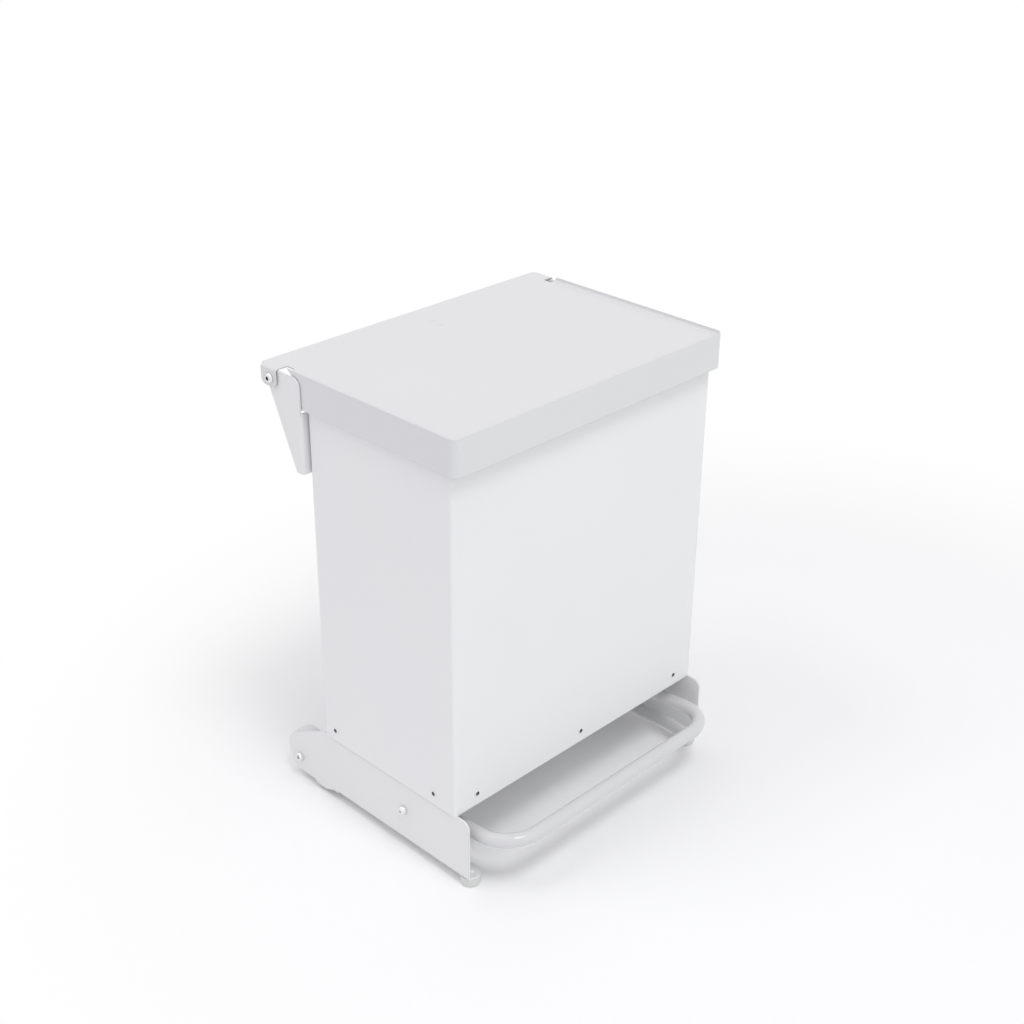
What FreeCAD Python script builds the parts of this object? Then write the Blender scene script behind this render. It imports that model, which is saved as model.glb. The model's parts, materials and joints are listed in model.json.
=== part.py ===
import FreeCAD, Part
import math
import os

os.makedirs("parts", exist_ok=True)

# A pedal bin in sheet steel: millimetres, +Z up from the floor, the front faces -Y.
# The origin is on the floor under the middle of the whole part.

# Body: a folded sheet box, open at the top, with a riveted base pan
body_width = 393.6
body_depth = 215.0
body_height = 432.0
body_sheet = 1.0
body_fold_radius = 4.0
body_hem_height = 12.0
pan_sheet = 1.2
pan_flange_height = 28.0
pan_corner_radius = 6.0
pan_fold_radius = 5.0

# Blind rivets, with their places on the body's faces
rivet_height = 15.0
rivet_face_inset = 33.0
rivet_front_inset = 32.0
rivet_rear_inset = 20.0
rivet_head_radius = 3.8
rivet_head_height = 1.1
rivet_shank_radius = 2.6
rivet_bore_radius = 1.9
rivet_tail_radius = 3.2
rivet_tail_height = 2.4
rivet_dome_share = 0.8
rivet_tail_round_share = 0.35

# Base sides: two plates folded inwards along the top and the bottom
foot_height = 11.0
base_height = 76.5
base_sheet = 2.5
base_inset = 1.7
base_flange = 22.6
base_fold_radius = 3.5
base_toe_reach = 19.0
base_toe_radius = 10.0
base_shoulder_reach = 5.0
base_shoulder_radius = 24.0
base_shoulder_degrees = 27.0
base_lobe_radius = 20.5
base_heel_drop = 5.5
base_heel_gap = 2.0
base_heel_rise = 7.0
base_heel_length = 15.0
base_heel_lead = 13.0
base_heel_radius = 7.0
base_top_flange_inset = 9.0
base_flange_tail = 9.0

# Cross pieces and uprights that join the base sides and carry the hinge
cross_height = 24.0
cross_depth = 14.0
cross_sheet = 1.5
cross_fold_radius = 3.0
cross_floor_gap = 14.0
upright_width = 30.0
upright_inset = 70.8
tie_width = 34.0
tie_height = 10.0
tie_reach = 26.4

# Front feet and their screws
foot_inset = 9.0
foot_edge_radius = 2.0
foot_recess_radius = 6.0
foot_recess_depth = 3.0
foot_screw_radius = 2.0
foot_screw_length = 8.0
foot_screw_head_radius = 4.0
foot_screw_head_height = 2.6
foot_screw_dome_share = 0.8

# Rear wheels on one axle
wheel_radius = 30.0
wheel_width = 18.0
tyre_thickness = 6.0
tyre_edge_radius = 3.0
wheel_rim_thickness = 3.0
wheel_web_thickness = 4.0
wheel_hub_radius = 9.0
wheel_hub_proud = 0.6
axle_radius = 4.0
axle_rear_reach = 50.5
axle_stub = 3.0
axle_spacer_length = 3.6
axle_spacer_radius = 6.5
axle_collar_length = 6.0
axle_collar_radius = 7.5
axle_cap_radius = 5.6
axle_cap_height = 5.2
axle_cap_hole_radius = 2.2
axle_cap_edge_radius = 2.0

# Pedal: a bent tube that rises to the front from a spindle under the body
pedal_reach = 57.5
pedal_rise = 11.6
pedal_arm_inset = 20.2
pedal_tube_radius = 8.0
pedal_tube_wall = 1.5
pedal_bend_radius = 42.7
pivot_setback = 83.6
pivot_height = 51.5
spindle_radius = 10.0
spindle_wall = 1.5
bush_flange_radius = 11.5
bush_flange_thickness = 2.0
bush_length = 16.0
pivot_bolt_radius = 4.0
pivot_head_radius = 5.5
pivot_head_height = 6.0
pivot_head_edge = 1.5
pivot_crown_share = 0.9
pivot_dome_share = 0.6
pivot_nut_flats = 13.0
pivot_nut_thickness = 4.0

# Lever and push rod behind the body
rod_offset = 4.0
rod_radius = 4.0
rod_eye_thickness = 6.0
rod_eye_radius = 7.5
rod_slot_wall = 5.0
rod_neck_length = 4.0
lever_sheet = 3.0
lever_boss_radius = 14.0
lever_tip_radius = 8.5
lever_pin_radius = 4.0
lever_pin_head_radius = 5.5
lever_pin_head_height = 2.0

# Lid: a dished panel inside a band that goes round the front and the sides
lid_sheet = 1.2
lid_side_overhang = 5.3
lid_front_overhang = 11.5
lid_band_height = 40.0
lid_band_lap = 26.5
lid_band_corner_radius = 10.0
lid_band_hem_height = 8.0
lid_rim_height = 3.5
lid_rim_step = 0.6
lid_dish_radius = 4.0
lid_notch_depth = 10.3
lid_tail_reach = 21.5
lid_tail_height = 15.5
lid_tail_corner_radius = 4.0
lid_fold_radius = 3.0
lid_opening_degrees = 80.0
ear_front_reach = 10.0
ear_rear_reach = 14.5
ear_height = 21.0
ear_corner_radius = 7.0
band_end_reach = 22.5
band_foot_reach = 38.5
band_end_rise = 12.0
band_end_radius = 8.0

# Lid bracket with its pin, and the rubber buffers
crank_radius = 20.0
bracket_sheet = 2.0
bracket_fold_radius = 3.0
bracket_front_reach = 35.0
bracket_rear_reach = 9.0
bracket_lobe_radius = 7.0
lid_pin_radius = 3.0
lid_pin_head_radius = 5.0
lid_pin_head_height = 2.0
lid_pin_groove_depth = 0.6
clip_thickness = 1.0
clip_radius = 5.2
clip_mouth_half_width = 1.9
buffer_radius = 6.0
buffer_edge_radius = 1.5
buffer_inset = 45.0

# Hinge yoke behind the body, with its bolts, bushes and nuts
hinge_rear_reach = 45.5
hinge_drop = 11.5
yoke_sheet = 2.0
yoke_gap = 2.0
yoke_fold_radius = 4.0
yoke_web_height = 69.0
yoke_band_gap = 4.5
yoke_foot_width = 10.0
yoke_corner_radius = 6.0
yoke_shoulder_radius = 10.0
yoke_lobe_radius = 9.5
yoke_lid_gap = 0.7
yoke_rivet_inset = 16.0
yoke_rivet_head_height = 1.0
hinge_bolt_radius = 3.0
hinge_head_radius = 5.5
hinge_head_height = 3.2
hinge_head_edge = 0.8
hinge_crown_share = 0.75
hinge_dome_share = 0.4
hinge_socket_flats = 4.0
hinge_socket_depth = 2.0
hinge_bush_radius = 4.5
hinge_flange_radius = 7.0
hinge_flange_thickness = 1.5
hinge_nut_flats = 10.0
hinge_nut_thickness = 5.0

# Clearances
running_fit = 0.05
side_gap = 0.5
face_gap = 0.3
slot_gap = 0.8
cut_overrun = 5.0

# Places worked out from the sizes
front_y = (pedal_reach + pedal_tube_radius - body_depth - axle_rear_reach - wheel_radius) / 2
rear_y = front_y + body_depth
body_bottom_z = foot_height + base_height
body_top_z = body_bottom_z + body_height
base_outer_x = body_width / 2 - base_inset
base_inner_x = base_outer_x - base_sheet
axle_y = rear_y + axle_rear_reach
axle_z = wheel_radius
pivot_y = front_y + pivot_setback
pivot_z = pivot_height
pedal_arm_x = base_inner_x - pedal_arm_inset
upright_x = base_inner_x - upright_inset
band_bottom_z = body_top_z - lid_band_lap
band_top_z = band_bottom_z + lid_band_height
panel_top_z = band_top_z - lid_rim_height
panel_bottom_z = panel_top_z - lid_sheet
lid_half_width = body_width / 2 + lid_side_overhang
lid_front_y = front_y - lid_front_overhang
hinge_y = rear_y + hinge_rear_reach
hinge_z = panel_top_z - hinge_drop
wing_inner_x = lid_half_width + yoke_lid_gap
wing_outer_x = wing_inner_x + yoke_sheet
ear_inner_x = wing_outer_x + hinge_flange_thickness + face_gap
ear_outer_x = ear_inner_x + lid_sheet
band_end_y = hinge_y - band_end_reach
web_front_y = rear_y + yoke_gap
web_rear_y = web_front_y + yoke_sheet
web_top_z = band_bottom_z - yoke_band_gap
web_bottom_z = web_top_z - yoke_web_height
cross_bottom_z = cross_floor_gap
cross_top_z = cross_bottom_z + cross_height
rod_half_gap = rod_eye_thickness / 2 + side_gap
wheel_face_x = base_inner_x - axle_spacer_length - face_gap
wheel_middle_x = wheel_face_x - wheel_hub_proud - wheel_width / 2

# The lid's crank stands as far below the hinge at rest as it does above it when open
half_opening = math.radians(lid_opening_degrees / 2)
pin_y = hinge_y - crank_radius * math.cos(half_opening)
pin_z = hinge_z - crank_radius * math.sin(half_opening)
lever_arm = pin_y - pivot_y
rod_stroke = 2 * crank_radius * math.sin(half_opening)
pedal_angle = math.asin(rod_stroke / lever_arm)
slot_front = lever_arm * (1 - math.cos(pedal_angle))
slot_rear = crank_radius * (1 - math.cos(half_opening))

up = FreeCAD.Vector(0, 0, 1)
along_x = FreeCAD.Vector(1, 0, 0)
along_y = FreeCAD.Vector(0, 1, 0)
left_and_right = (-1, 1)


def in_yz(x):
    return lambda u, v: FreeCAD.Vector(x, u, v)


def in_xz(y):
    return lambda u, v: FreeCAD.Vector(u, y, v)


def in_xy(z):
    return lambda u, v: FreeCAD.Vector(u, v, z)


def corner(before, here, after):
    """Start, middle and end of the arc that rounds one corner, or the bare corner."""
    u, v, radius = here
    if radius <= 0:
        return (u, v), None, (u, v)
    back = FreeCAD.Vector(before[0] - u, before[1] - v, 0).normalize()
    ahead = FreeCAD.Vector(after[0] - u, after[1] - v, 0).normalize()
    half = back.getAngle(ahead) / 2
    inward = (back + ahead).normalize()
    here_v = FreeCAD.Vector(u, v, 0)
    start = here_v + back * (radius / math.tan(half))
    end = here_v + ahead * (radius / math.tan(half))
    middle = here_v + inward * (radius / math.sin(half) - radius)
    return (start.x, start.y), (middle.x, middle.y), (end.x, end.y)


def outline(points, place):
    """A face from corner points (u, v, radius), set in a plane by place."""
    count = len(points)
    corners = [corner(points[i - 1], points[i], points[(i + 1) % count]) for i in range(count)]
    edges = []
    for i in range(count):
        start, middle, end = corners[i]
        if middle:
            edges.append(Part.Arc(place(*start), place(*middle), place(*end)).toShape())
        following = corners[(i + 1) % count][0]
        if place(*end).distanceToPoint(place(*following)) > Part.Precision.confusion():
            edges.append(Part.makeLine(place(*end), place(*following)))
    return Part.Face(Part.Wire(edges))


def bar_x(points, x0, x1):
    """An outline in Y and Z, drawn out along X."""
    return outline(points, in_yz(x0)).extrude(along_x * (x1 - x0))


def bar_y(points, y0, y1):
    """An outline in X and Z, drawn out along Y."""
    return outline(points, in_xz(y0)).extrude(along_y * (y1 - y0))


def bar_z(points, z0, z1):
    """An outline in X and Y, drawn out along Z."""
    return outline(points, in_xy(z0)).extrude(up * (z1 - z0))


def block(x0, x1, y0, y1, z0, z1):
    return bar_z([(x0, y0, 0), (x1, y0, 0), (x1, y1, 0), (x0, y1, 0)], z0, z1)


def rectangle(half_width, y0, y1, radius):
    return [(-half_width, y0, radius), (half_width, y0, radius),
            (half_width, y1, radius), (-half_width, y1, radius)]


def turned(points):
    """A body of revolution about Z from an outline in radius and height."""
    return outline(points, in_xz(0)).revolve(FreeCAD.Vector(), up, 360)


def rod(radius, x0, x1, y, z):
    return Part.makeCylinder(radius, x1 - x0, FreeCAD.Vector(x0, y, z), along_x)


def aimed(shape, direction, place):
    """A piece made along +Z from the origin, turned to a direction and moved."""
    copy = shape.copy()
    copy.Placement = FreeCAD.Placement(place, FreeCAD.Rotation(up, direction))
    return copy


def mirrored(shape):
    return shape.mirror(FreeCAD.Vector(), along_x)


def on_both_sides(piece, x, y, z, facing=1):
    """A copy on the left and one on the right, with +Z outwards, or inwards if facing is -1."""
    return Part.makeCompound([aimed(piece, along_x * (side * facing), FreeCAD.Vector(side * x, y, z))
                              for side in left_and_right])


def hexagon(flats):
    reach = flats / math.sqrt(3)
    angles = [math.radians(60 * side) for side in range(6)]
    return [(reach * math.cos(a), reach * math.sin(a), 0) for a in angles]


def fused(shapes):
    whole = shapes[0].multiFuse(shapes[1:]) if len(shapes) > 1 else shapes[0]
    return whole.removeSplitter()


def single(shape):
    solids = shape.Solids
    return solids[0] if len(solids) == 1 else shape


def channel(half_width, depth, sheet, radius):
    """Outline of a folded channel: a web with two legs that run along +v."""
    inner = half_width - sheet
    return [(-half_width, 0, radius), (half_width, 0, radius), (half_width, depth, 0), (inner, depth, 0),
            (inner, sheet, radius - sheet), (-inner, sheet, radius - sheet), (-inner, depth, 0),
            (-half_width, depth, 0)]


def moved(points, du, dv):
    return [(u + du, v + dv, radius) for u, v, radius in points]


def link(near_y, near_z, near_radius, far_y, far_z, far_radius, x0, x1):
    """A flat link with two round ends and straight tangents between them."""
    length = math.hypot(far_y - near_y, far_z - near_z)
    heading = math.atan2(far_z - near_z, far_y - near_y)
    lean = math.acos((near_radius - far_radius) / length)

    def on(y, z, radius, angle):
        return FreeCAD.Vector(x0, y + radius * math.cos(angle), z + radius * math.sin(angle))

    high, low = heading + lean, heading - lean
    edges = [Part.makeLine(on(near_y, near_z, near_radius, low), on(far_y, far_z, far_radius, low)),
             Part.Arc(on(far_y, far_z, far_radius, low), on(far_y, far_z, far_radius, heading),
                      on(far_y, far_z, far_radius, high)).toShape(),
             Part.makeLine(on(far_y, far_z, far_radius, high), on(near_y, near_z, near_radius, high)),
             Part.Arc(on(near_y, near_z, near_radius, high), on(near_y, near_z, -near_radius, heading),
                      on(near_y, near_z, near_radius, low)).toShape()]
    return Part.Face(Part.Wire(edges)).extrude(along_x * (x1 - x0))


def tangent_point(foot_y, foot_z, centre_y, centre_z, radius, level_z):
    """Where the line from a foot, past the rear of a circle, meets a level."""
    length = math.hypot(centre_y - foot_y, centre_z - foot_z)
    slope = math.atan2(centre_z - foot_z, centre_y - foot_y) - math.asin(radius / length)
    return foot_y + (level_z - foot_z) / math.tan(slope)


def blind_rivet(head_height, grip):
    """Head outwards along +Z, with its underside at the origin."""
    end = -grip - rivet_tail_height
    return turned([(rivet_bore_radius, head_height, 0), (rivet_bore_radius, end, 0),
                   (rivet_tail_radius, end, rivet_tail_height * rivet_tail_round_share),
                   (rivet_tail_radius, -grip, 0), (rivet_shank_radius, -grip, 0), (rivet_shank_radius, 0, 0),
                   (rivet_head_radius, 0, 0),
                   (rivet_head_radius, head_height, head_height * rivet_dome_share)])


def body_rivet_places():
    """Each body rivet's place on the outside of the body, with its outward direction."""
    z = body_bottom_z + rivet_height
    face_x = body_width / 2 - rivet_face_inset
    places = []
    for x in (-face_x, 0, face_x):
        places.append((FreeCAD.Vector(x, front_y, z), -along_y))
        places.append((FreeCAD.Vector(x, rear_y, z), along_y))
    for side in left_and_right:
        for y in (front_y + rivet_front_inset, rear_y - rivet_rear_inset):
            places.append((FreeCAD.Vector(side * body_width / 2, y, z), along_x * side))
    return places


def rivet_holes(grip):
    hole = Part.makeCylinder(rivet_shank_radius, grip + 2 * cut_overrun,
                             FreeCAD.Vector(0, 0, -grip - cut_overrun))
    return [aimed(hole, direction, place) for place, direction in body_rivet_places()]


def make_body_shell():
    def walls(inset, z0, z1):
        return bar_z(rectangle(body_width / 2 - inset, front_y + inset, rear_y - inset,
                               body_fold_radius - inset), z0, z1)

    # The rim is folded inwards and down on itself
    shell = walls(0, body_bottom_z, body_top_z)
    shell = shell.cut(walls(body_sheet, body_bottom_z - cut_overrun, body_top_z - body_hem_height))
    shell = shell.cut(walls(2 * body_sheet, body_bottom_z, body_top_z + cut_overrun))
    return shell.cut(rivet_holes(body_sheet))


def make_body_base():
    def pan(inset):
        gap = body_sheet + inset
        floor_z = body_bottom_z + inset
        plan = rectangle(body_width / 2 - gap, front_y + gap, rear_y - gap, pan_corner_radius - inset)
        solid = bar_z(plan, floor_z, body_bottom_z + pan_flange_height)
        lower = [edge for edge in solid.Edges if edge.BoundBox.ZMax < floor_z + pan_sheet]
        return solid.makeFillet(pan_fold_radius - inset, lower)

    outer, inner = pan(0), pan(pan_sheet)
    inner = inner.fuse(inner.translated(up * cut_overrun))
    return outer.cut(inner).cut(rivet_holes(body_sheet + pan_sheet))


def make_body_rivets():
    rivet = blind_rivet(rivet_head_height, body_sheet + pan_sheet)
    return Part.makeCompound([aimed(rivet, direction, place) for place, direction in body_rivet_places()])


def base_side_outline():
    """Seen from the side: a rounded toe, a level top, a sloping shoulder and a round lobe at the axle."""
    toe_y = front_y - base_toe_reach
    lobe_bottom_z = axle_z - base_lobe_radius
    lobe_rear_y = axle_y + base_lobe_radius
    shoulder_y = rear_y + base_shoulder_reach
    # The shoulder runs straight down to the top of the lobe
    fall = math.radians(base_shoulder_degrees)
    shoulder_end_z = body_bottom_z - (lobe_rear_y - shoulder_y) * math.tan(fall)
    heel_z = foot_height - base_heel_drop
    heel_rear_y = axle_y - base_lobe_radius - base_heel_gap
    heel_end_y = heel_rear_y - base_heel_rise
    heel_start_y = heel_end_y - base_heel_length
    return [(toe_y, foot_height, 0),
            (toe_y, body_bottom_z, base_toe_radius),
            (shoulder_y, body_bottom_z, base_shoulder_radius),
            (lobe_rear_y, shoulder_end_z, base_lobe_radius),
            (lobe_rear_y, lobe_bottom_z, base_lobe_radius),
            (heel_rear_y, lobe_bottom_z, base_heel_radius),
            (heel_end_y, heel_z, base_heel_radius),
            (heel_start_y, heel_z, base_heel_radius),
            (base_heel_front_y(), foot_height, base_heel_radius)]


def base_heel_front_y():
    """Where the heel starts to drop below the base side's straight lower edge."""
    return axle_y - base_lobe_radius - base_heel_gap - base_heel_rise - base_heel_length - base_heel_lead


def make_base_side():
    """The right-hand base side."""
    toe_y = front_y - base_toe_reach
    flange_end_y = base_heel_front_y() - base_flange_tail
    top_start_y = front_y + base_top_flange_inset
    top_end_y = rear_y - base_top_flange_inset
    leg = 2 * base_fold_radius
    inner_radius = base_fold_radius - base_sheet
    flange_x = base_outer_x - base_flange

    def angle(z, rise):
        """A folded edge at a level, with its leg along the web in the direction of rise."""
        return [(base_outer_x, z + rise * leg, 0), (base_outer_x, z, base_fold_radius), (flange_x, z, 0),
                (flange_x, z + rise * base_sheet, 0), (base_inner_x, z + rise * base_sheet, inner_radius),
                (base_inner_x, z + rise * leg, 0)]

    web = bar_x(base_side_outline(), base_inner_x, base_outer_x)
    web = web.cut(block(base_inner_x - cut_overrun, base_outer_x + cut_overrun, toe_y - cut_overrun,
                        flange_end_y, 0, foot_height + leg))
    web = web.cut(block(base_inner_x - cut_overrun, base_outer_x + cut_overrun, top_start_y, top_end_y,
                        body_bottom_z - leg, body_bottom_z + cut_overrun))
    upper = bar_y(angle(body_bottom_z, -1), top_start_y, top_end_y)
    # The lower fold ends in a round tongue over the foot
    foot = foot_middle()
    fold_x = base_outer_x - leg
    waste = block(flange_x - cut_overrun, fold_x, toe_y - cut_overrun, foot.y,
                  foot_height, foot_height + leg)
    lower = bar_y(angle(foot_height, 1), toe_y, flange_end_y).cut(waste)
    tongue = Part.makeCylinder(base_flange / 2, base_sheet, foot + up * foot_height)
    tongue = tongue.common(block(flange_x, base_outer_x - base_fold_radius, foot.y - base_flange, foot.y,
                                 foot_height, foot_height + base_sheet))
    side = fused([web, lower, upper, tongue])
    side = side.cut(rod(axle_radius, base_inner_x - cut_overrun, base_outer_x + cut_overrun, axle_y, axle_z))
    side = side.cut(rod(pivot_bolt_radius, base_inner_x - cut_overrun, base_outer_x + cut_overrun,
                        pivot_y, pivot_z))
    hole = Part.makeCylinder(foot_screw_radius, base_sheet + 2 * cut_overrun,
                             foot + up * (foot_height - cut_overrun))
    return single(side.cut(hole))


def foot_middle():
    """Floor point under the middle of the right-hand foot, below the base side's lower fold."""
    return FreeCAD.Vector(base_outer_x - base_flange / 2, front_y - base_toe_reach + foot_inset, 0)


def make_front_foot():
    radius = base_flange / 2
    screw_end_z = foot_height - foot_screw_length
    foot = turned([(foot_recess_radius, 0, 0), (radius, 0, foot_edge_radius),
                   (radius, foot_height, foot_edge_radius / 2),
                   (foot_screw_radius, foot_height, 0), (foot_screw_radius, screw_end_z, 0),
                   (0, screw_end_z, 0), (0, foot_recess_depth, 0),
                   (foot_recess_radius, foot_recess_depth, 0)])
    return foot.translated(foot_middle())


def make_foot_screws():
    end_z = foot_height - foot_screw_length
    under_z = foot_height + base_sheet
    top_z = under_z + foot_screw_head_height
    dome = foot_screw_head_height * foot_screw_dome_share
    screw = turned([(0, end_z, 0), (foot_screw_radius, end_z, 0), (foot_screw_radius, under_z, 0),
                    (foot_screw_head_radius, under_z, 0), (foot_screw_head_radius, top_z, dome),
                    (0, top_z, 0)])
    screw = screw.translated(foot_middle())
    return Part.makeCompound([screw, mirrored(screw)])


def make_rear_cross_channel():
    middle_z = (cross_bottom_z + cross_top_z) / 2
    section = channel(cross_height / 2, cross_depth, cross_sheet, cross_fold_radius)
    points = [(web_rear_y + v, middle_z + u, radius) for u, v, radius in section]
    return bar_x(points, -base_inner_x, base_inner_x)


def make_rear_upright(side):
    section = channel(upright_width / 2, cross_depth, cross_sheet, cross_fold_radius)
    upright = bar_z(moved(section, side * upright_x, web_rear_y), cross_top_z, web_top_z)
    for place in yoke_rivet_places(side):
        hole = Part.makeCylinder(rivet_shank_radius, cross_depth, place, along_y)
        upright = upright.cut(hole)
    return upright


def make_base_tie():
    top_z = body_bottom_z - base_sheet
    section = channel(tie_width / 2, tie_height, cross_sheet, cross_fold_radius)
    points = [(pivot_y + tie_reach + u, top_z - v, radius) for u, v, radius in section]
    # It stops short of the round inside of the base sides' upper folds
    half = base_inner_x - (base_fold_radius - base_sheet)
    return bar_x(points, -half, half)


def make_rear_axle():
    reach = base_outer_x + axle_stub
    return rod(axle_radius, -reach, reach, axle_y, axle_z)


def ring_pair(inner, outer, x0, x1):
    """A round sleeve on each side, on the axle's line."""
    sleeve = rod(outer, x0, x1, axle_y, axle_z).cut(rod(inner, x0, x1, axle_y, axle_z))
    return Part.makeCompound([sleeve, mirrored(sleeve)])


def make_axle_spacers():
    return ring_pair(axle_radius, axle_spacer_radius, base_inner_x - axle_spacer_length, base_inner_x)


def make_axle_collars():
    end_x = wheel_face_x - wheel_width - 2 * wheel_hub_proud - face_gap
    return ring_pair(axle_radius, axle_collar_radius, end_x - axle_collar_length, end_x)


def make_axle_caps():
    cap = turned([(axle_radius, 0, 0), (axle_cap_radius, 0, 0),
                  (axle_cap_radius, axle_cap_height, axle_cap_edge_radius),
                  (axle_cap_hole_radius, axle_cap_height, 0), (axle_cap_hole_radius, axle_stub, 0),
                  (axle_radius, axle_stub, 0)])
    return on_both_sides(cap, base_outer_x, axle_y, axle_z)


def make_wheel(side):
    """Hub, web and rim as one moulding, with a recess on each face."""
    rim_outer = wheel_radius - tyre_thickness
    rim_inner = rim_outer - wheel_rim_thickness
    half = wheel_width / 2
    hub_half = half + wheel_hub_proud
    web_half = wheel_web_thickness / 2
    bore = axle_radius + running_fit
    root = wheel_rim_thickness / 2
    wheel = turned([(bore, -hub_half, 0), (wheel_hub_radius, -hub_half, 0),
                    (wheel_hub_radius, -web_half, root), (rim_inner, -web_half, root),
                    (rim_inner, -half, 0), (rim_outer, -half, 0), (rim_outer, half, 0), (rim_inner, half, 0),
                    (rim_inner, web_half, root), (wheel_hub_radius, web_half, root),
                    (wheel_hub_radius, hub_half, 0), (bore, hub_half, 0)])
    return aimed(wheel, along_x, FreeCAD.Vector(side * wheel_middle_x, axle_y, axle_z))


def make_tyre(side):
    rim_outer = wheel_radius - tyre_thickness
    half = wheel_width / 2
    tyre = turned([(rim_outer, -half, 0), (wheel_radius, -half, tyre_edge_radius),
                   (wheel_radius, half, tyre_edge_radius), (rim_outer, half, 0)])
    return aimed(tyre, along_x, FreeCAD.Vector(side * wheel_middle_x, axle_y, axle_z))


def make_pedal_tube():
    """A tube bent flat into a U, with its arms coped on to the spindle and tilted up to the front."""
    arm_x = pedal_arm_x
    forward = pivot_setback + pedal_reach
    run_y = pivot_y - math.hypot(forward, pedal_rise)
    tilt = math.degrees(math.atan2(pedal_rise, forward))
    bend = pedal_bend_radius
    turn = bend * (1 - math.sqrt(2) / 2)
    point = in_xy(pivot_z)
    path = Part.Wire([
        Part.makeLine(point(-arm_x, pivot_y), point(-arm_x, run_y + bend)),
        Part.Arc(point(-arm_x, run_y + bend), point(-arm_x + turn, run_y + turn),
                 point(-arm_x + bend, run_y)).toShape(),
        Part.makeLine(point(-arm_x + bend, run_y), point(arm_x - bend, run_y)),
        Part.Arc(point(arm_x - bend, run_y), point(arm_x - turn, run_y + turn),
                 point(arm_x, run_y + bend)).toShape(),
        Part.makeLine(point(arm_x, run_y + bend), point(arm_x, pivot_y))])

    def pipe(radius):
        ring = Part.Wire([Part.Circle(point(-arm_x, pivot_y), along_y, radius).toShape()])
        return path.makePipeShell([ring], True, False)

    tube = pipe(pedal_tube_radius).cut(pipe(pedal_tube_radius - pedal_tube_wall))
    tube = tube.cut(rod(spindle_radius, -base_inner_x, base_inner_x, pivot_y, pivot_z))
    return single(tube.rotated(point(0, pivot_y), along_x, -tilt))


def spindle_half_length():
    return base_inner_x - pivot_nut_thickness - side_gap - bush_flange_thickness


def make_pedal_spindle():
    half = spindle_half_length()
    return rod(spindle_radius, -half, half, pivot_y, pivot_z).cut(
        rod(spindle_radius - spindle_wall, -half, half, pivot_y, pivot_z))


def make_spindle_bushes():
    inner = pivot_bolt_radius + running_fit
    sleeve = spindle_radius - spindle_wall
    bush = turned([(inner, -bush_length, 0), (sleeve, -bush_length, 0), (sleeve, 0, 0),
                   (bush_flange_radius, 0, 0), (bush_flange_radius, bush_flange_thickness, 0),
                   (inner, bush_flange_thickness, 0)])
    return on_both_sides(bush, spindle_half_length(), pivot_y, pivot_z)


def make_pivot_bolts():
    """Domed heads outside the base sides, plain shanks inside the spindle's bushes."""
    reach = base_outer_x - spindle_half_length() + bush_length - side_gap
    bolt = turned([(0, -reach, 0), (pivot_bolt_radius, -reach, 0), (pivot_bolt_radius, 0, 0),
                   (pivot_head_radius, 0, 0), (pivot_head_radius, pivot_head_edge, 0),
                   (pivot_head_radius * pivot_crown_share, pivot_head_height,
                    pivot_head_height * pivot_dome_share),
                   (0, pivot_head_height, 0)])
    return on_both_sides(bolt, base_outer_x, pivot_y, pivot_z)


def nut(flats, thickness, bore):
    return bar_z(hexagon(flats), 0, thickness).cut(Part.makeCylinder(bore, thickness))


def make_pivot_nuts():
    piece = nut(pivot_nut_flats, pivot_nut_thickness, pivot_bolt_radius)
    return on_both_sides(piece, base_inner_x, pivot_y, pivot_z, -1)


def make_pedal_lever():
    """Two tapering cheeks from the spindle back to the push rod's pin."""
    cheeks = []
    for side in left_and_right:
        near_x = rod_offset + side * rod_half_gap
        x0 = min(near_x, near_x + side * lever_sheet)
        cheek = link(pivot_y, pivot_z, lever_boss_radius, pin_y, pivot_z, lever_tip_radius,
                     x0, x0 + lever_sheet)
        cheek = cheek.cut(rod(spindle_radius, x0 - cut_overrun, x0 + cut_overrun, pivot_y, pivot_z))
        cheeks.append(cheek.cut(rod(lever_pin_radius, x0 - cut_overrun, x0 + cut_overrun, pin_y, pivot_z)))
    return Part.makeCompound(cheeks)


def make_lever_pin():
    half = rod_half_gap + lever_sheet
    pin = turned([(0, -half - lever_pin_head_height, 0),
                  (lever_pin_head_radius, -half - lever_pin_head_height, lever_pin_head_height / 2),
                  (lever_pin_head_radius, -half, 0), (lever_pin_radius, -half, 0),
                  (lever_pin_radius, half, 0), (lever_pin_head_radius, half, 0),
                  (lever_pin_head_radius, half + lever_pin_head_height, lever_pin_head_height / 2),
                  (0, half + lever_pin_head_height, 0)])
    return aimed(pin, along_x, FreeCAD.Vector(rod_offset, pin_y, pivot_z))


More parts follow.
